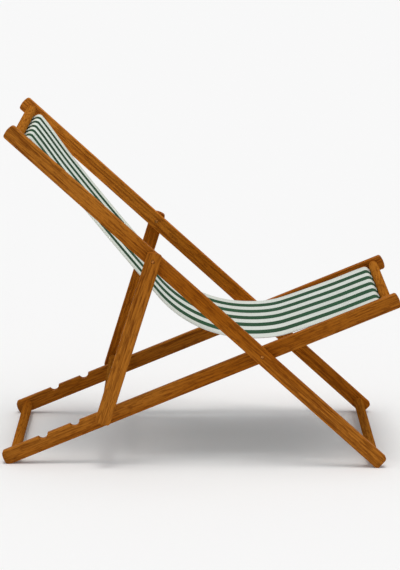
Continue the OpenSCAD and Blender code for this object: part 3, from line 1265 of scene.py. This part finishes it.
@dataclass
class PivotSet:
    """One bolted pivot on one side: slotted bolt, round nut and washer."""

    joint: str
    body: Body
    side: Side
    bolt_turn: float
    brass: bpy.types.Material
    zinc: bpy.types.Material
    steps: int = 40
    weld: float = 0.005 * MM
    cut_reach: float = 0.001 * MM
    slot_wide: float = 1.3 * MM
    bolt_slot: float = 0.8 * MM
    bolt_slot_over: float = 0.25 * MM
    nut_slot: float = 0.5 * MM
    nut_slot_over: float = 0.2 * MM
    nut_turn: float = 1.1
    shank: float = 3.0 * MM
    bore: float = 3.05 * MM
    head: float = 2.2 * MM
    head_edge: float = 0.9 * MM
    head_soft: float = 0.25 * MM
    dome_step: int = 9
    tip_bevel: float = 0.4 * MM
    nut_wall: float = 0.8 * MM
    bevel: float = 0.5 * MM
    nut_round: tuple[tuple[float, float], ...] = ((0.4, 0.3), (1.3, 0.0))
    washer_soft: float = 0.3 * MM

    def spun(self, profile: Sequence[tuple[float, float]], centre: Vector) -> bmesh.types.BMesh:
        """Turns a profile round the pivot's axis.

        Args:
            profile: Points as radius and distance outwards along the axis.
            centre: The axis, at y = 0.

        Returns:
            The turned shape.
        """
        mesh = bmesh.new()
        sign = self.side.value
        verts = [mesh.verts.new((centre.x + r, sign * y, centre.z)) for r, y in profile]
        edges = [mesh.edges.new(pair) for pair in zip(verts, verts[1:])]
        bmesh.ops.spin(
            mesh,
            geom=verts + edges,
            cent=(centre.x, 0.0, centre.z),
            axis=(0.0, 1.0, 0.0),
            angle=2 * math.pi,
            steps=self.steps,
            use_merge=True,
        )
        bmesh.ops.remove_doubles(mesh, verts=mesh.verts, dist=self.weld)
        bmesh.ops.recalc_face_normals(mesh, faces=mesh.faces)
        return mesh

    def cut_slot(
        self, mesh: bmesh.types.BMesh, centre: Vector, top: float, outwards: int, turn: float, deep: float
    ) -> None:
        """Sinks a screwdriver slot into a turned face.

        Args:
            mesh: The turned shape.
            centre: The axis, at y = 0.
            top: The distance along the axis, from the middle plane, beyond which faces are cut.
            outwards: 1 where the face looks outwards, -1 where it looks inwards.
            turn: The slot's angle in radians.
            deep: The slot's depth.
        """
        sign = self.side.value
        across = Vector((math.cos(turn), 0.0, math.sin(turn)))
        for half in (self.slot_wide / 2, -self.slot_wide / 2):
            bmesh.ops.bisect_plane(
                mesh,
                geom=mesh.verts[:] + mesh.edges[:] + mesh.faces[:],
                dist=self.cut_reach,
                plane_co=centre + across * half,
                plane_no=across,
            )
        chosen = []
        for face in mesh.faces:
            spot = face.calc_center_median()
            off = abs((spot - centre).dot(across))
            if off < self.slot_wide / 2 and (sign * spot.y - top) * outwards > 0:
                chosen.append(face)
        made = bmesh.ops.extrude_face_region(mesh, geom=chosen)
        moved = [item for item in made["geom"] if isinstance(item, bmesh.types.BMVert)]
        bmesh.ops.delete(mesh, geom=chosen, context="FACES_ONLY")
        bmesh.ops.translate(mesh, verts=moved, vec=(0.0, -sign * outwards * deep, 0.0))
        bmesh.ops.recalc_face_normals(mesh, faces=mesh.faces)

    def build(self) -> None:
        """Makes the three pieces in their places."""
        self.make_bolt(f"{self.joint}_bolt_{self.side.word}")
        self.make_nut(f"{self.joint}_nut_{self.side.word}")
        self.make_washer(f"{self.joint}_washer_{self.side.word}")

    def measure(self, node: str) -> tuple[Vector, float, float, float]:
        """Reads a node's place and size.

        Args:
            node: The CAD node.

        Returns:
            Its axis at y = 0, its nearest and furthest distance from the middle plane, and its radius.
        """
        low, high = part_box(node)
        near, far = sorted((abs(low.y), abs(high.y)))
        return Vector((middle(node).x, 0.0, middle(node).z)), near, far, (high.x - low.x) / 2

    def fit(self, piece: bpy.types.Object, node: str) -> None:
        """Puts a piece in the place of a CAD node.

        Args:
            piece: The piece.
            node: The node that it replaces.
        """
        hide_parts(node)
        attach(piece, self.body.value)

    def make_bolt(self, node: str) -> None:
        """The bolt: a domed, slotted head on a plain shank.

        Args:
            node: The CAD node that it replaces.
        """
        centre, tip, top, radius = self.measure(node)
        shank = self.shank
        base = top - self.head
        rim = base + self.head_edge
        dome = [
            (radius * math.cos(a), rim + (top - rim) * math.sin(a))
            for a in (math.radians(d) for d in range(0, 91, self.dome_step))
        ]
        profile = [(0.0, tip), (shank - self.tip_bevel, tip), (shank, tip + self.tip_bevel), (shank, base)]
        profile += [(radius - self.head_soft, base), (radius, base + self.head_soft)] + dome
        profile[-1] = (0.0, top)
        mesh = self.spun(profile, centre)
        self.cut_slot(mesh, centre, rim + self.bolt_slot_over, 1, self.bolt_turn, self.bolt_slot)
        self.fit(mesh_object(f"slotted_{node}", mesh, self.brass), node)

    def make_nut(self, node: str) -> None:
        """The round nut, blind, with a slot across its face.

        Args:
            node: The CAD node that it replaces.
        """
        centre, near, far, radius = self.measure(node)
        bevel, bore = self.bevel, self.bore
        cap = near + self.nut_wall
        profile = [(0.0, cap), (bore, cap), (bore, far), (radius - bevel, far), (radius, far - bevel)]
        profile.append((radius, near + bevel))
        profile += [(radius - bevel * inwards, near + bevel * up) for inwards, up in self.nut_round]
        profile.append((0.0, near))
        mesh = self.spun(profile, centre)
        self.cut_slot(mesh, centre, near + self.nut_slot_over, -1, self.nut_turn, self.nut_slot)
        self.fit(mesh_object(f"slotted_{node}", mesh, self.brass), node)

    def make_washer(self, node: str) -> None:
        """The spacer washer, with softened edges.

        Args:
            node: The CAD node that it replaces.
        """
        centre, near, far, radius = self.measure(node)
        bore, soft = self.bore, self.washer_soft
        profile = [
            (bore + soft, near),
            (radius - soft, near),
            (radius, near + soft),
            (radius, far - soft),
            (radius - soft, far),
            (bore + soft, far),
            (bore, far - soft),
            (bore, near + soft),
            (bore + soft, near),
        ]
        self.fit(mesh_object(f"spacer_{node}", self.spun(profile, centre), self.zinc), node)


@dataclass
class Studio:
    """Floor, lamps, sky and camera."""

    focal: float = 1990.3
    image: tuple[int, int] = (400, 570)
    sensor: float = 36.0
    position: Vector = field(default_factory=lambda: Vector((-0.0271, -5.5201, 1.7841)))
    pitch: float = math.radians(13.536)
    yaw: float = math.radians(0.285)
    roll: float = math.radians(0.346)
    view_end: float = 200.0
    floor_half: float = 60.0
    floor_drop: float = 0.3 * MM
    towards_lamps: Vector = field(default_factory=lambda: Vector((0.0, -0.09, 1.0)))
    sky: float = 0.44
    sky_tint: Colour = (0.958, 0.996, 1.046)
    backdrop: Colour = (0.94, 0.94, 0.94)
    lamp_tint: Colour = (1.033, 1.003, 0.964)
    lamps: tuple[tuple[str, float, float], ...] = (("overhead", 0.90, 18.0), ("overhead_soft", 0.85, 60.0))

    def build(self) -> None:
        """Makes the whole studio."""
        self.place_camera()
        self.lay_floor()
        self.hang_lamps()
        self.light_sky()
        bpy.context.scene.view_settings.view_transform = "Standard"

    def place_camera(self) -> None:
        """Sets up the camera at the photograph's viewing angle."""
        ahead = Vector(
            (
                math.sin(self.yaw) * math.cos(self.pitch),
                math.cos(self.yaw) * math.cos(self.pitch),
                -math.sin(self.pitch),
            )
        )
        level = Vector((math.cos(self.yaw), -math.sin(self.yaw), 0.0))
        upright = level.cross(ahead)
        right = math.cos(self.roll) * level + math.sin(self.roll) * upright
        top = -math.sin(self.roll) * level + math.cos(self.roll) * upright
        turn = Matrix((right, top, -ahead)).transposed()
        data = bpy.data.cameras.new("studio_camera")
        data.sensor_fit = "AUTO"
        data.sensor_width = self.sensor
        data.lens = self.sensor * self.focal / max(self.image)
        data.clip_end = self.view_end
        camera = bpy.data.objects.new("studio_camera", data)
        camera.location = self.position
        camera.rotation_euler = turn.to_euler()
        bpy.context.scene.collection.objects.link(camera)
        bpy.context.scene.camera = camera
        LOG.info("camera at %s, lens %.1f mm", tuple(round(x, 3) for x in self.position), data.lens)

    def lay_floor(self) -> None:
        """Lays the plain floor just under the feet."""
        mesh = bmesh.new()
        bmesh.ops.create_grid(mesh, x_segments=1, y_segments=1, size=self.floor_half)
        bmesh.ops.translate(mesh, verts=mesh.verts, vec=(0.0, 0.0, -self.floor_drop))
        floor = mesh_object("studio_floor", mesh, FloorFinish().material("floor_paint"))

    def hang_lamps(self) -> None:
        """Hangs the lamps overhead, one that draws the shadow's edge and one that softens it."""
        for name, energy, spread in self.lamps:
            data = bpy.data.lights.new(name, "SUN")
            data.energy = energy
            data.color = self.lamp_tint
            data.angle = math.radians(spread)
            lamp = bpy.data.objects.new(name, data)
            lamp.rotation_euler = self.towards_lamps.to_track_quat("Z", "Y").to_euler()
            bpy.context.scene.collection.objects.link(lamp)

    def light_sky(self) -> None:
        """Lights the room evenly, and shows it white to the camera and in gloss."""
        world = bpy.data.worlds.new("studio_sky")
        tree = NodeTree(world)
        path = tree.node("ShaderNodeLightPath")
        camera, gloss, glass = (
            Socket(tree, path.outputs[f"Is {ray} Ray"]) for ray in ("Camera", "Glossy", "Transmission")
        )
        clamped = {"operation": "ADD", "use_clamp": True}
        seen = tree.add("ShaderNodeMath", clamped, {0: camera, 1: gloss})
        seen = tree.add("ShaderNodeMath", clamped, {0: seen, 1: glass})
        room = tree.add("ShaderNodeBackground", inputs={"Color": self.sky_tint, "Strength": self.sky})
        shown = tree.add("ShaderNodeBackground", inputs={"Color": self.backdrop, "Strength": 1.0})
        both = tree.add("ShaderNodeMixShader", inputs={0: seen, 1: room, 2: shown})
        tree.node("ShaderNodeOutputWorld", inputs={0: both})
        bpy.context.scene.world = world


PIVOTS = (("main_pivot", Body.SEAT, 0.6), ("strut_pivot", Body.BACK, 2.0))


def main() -> None:
    """Loads the frame, dresses it and reports each piece."""
    logging.basicConfig(level=logging.INFO, format="%(message)s")
    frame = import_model()
    Studio().build()
    places = {joint["name"]: Vector(joint["pos_m"]) for joint in frame["joints"]}
    Timber().dress(frame["nodes"], places)
    Sling().build(Vector((places["fold"].x, places["fold"].z)))

    brass = DULL_BRASS.material("dulled_brass")
    zinc = DULL_ZINC.material("dulled_zinc")
    for side in Side:
        for joint, body, bolt_turn in PIVOTS:
            PivotSet(joint, body, side, bolt_turn, brass, zinc).build()


if __name__ == "__main__":
    main()
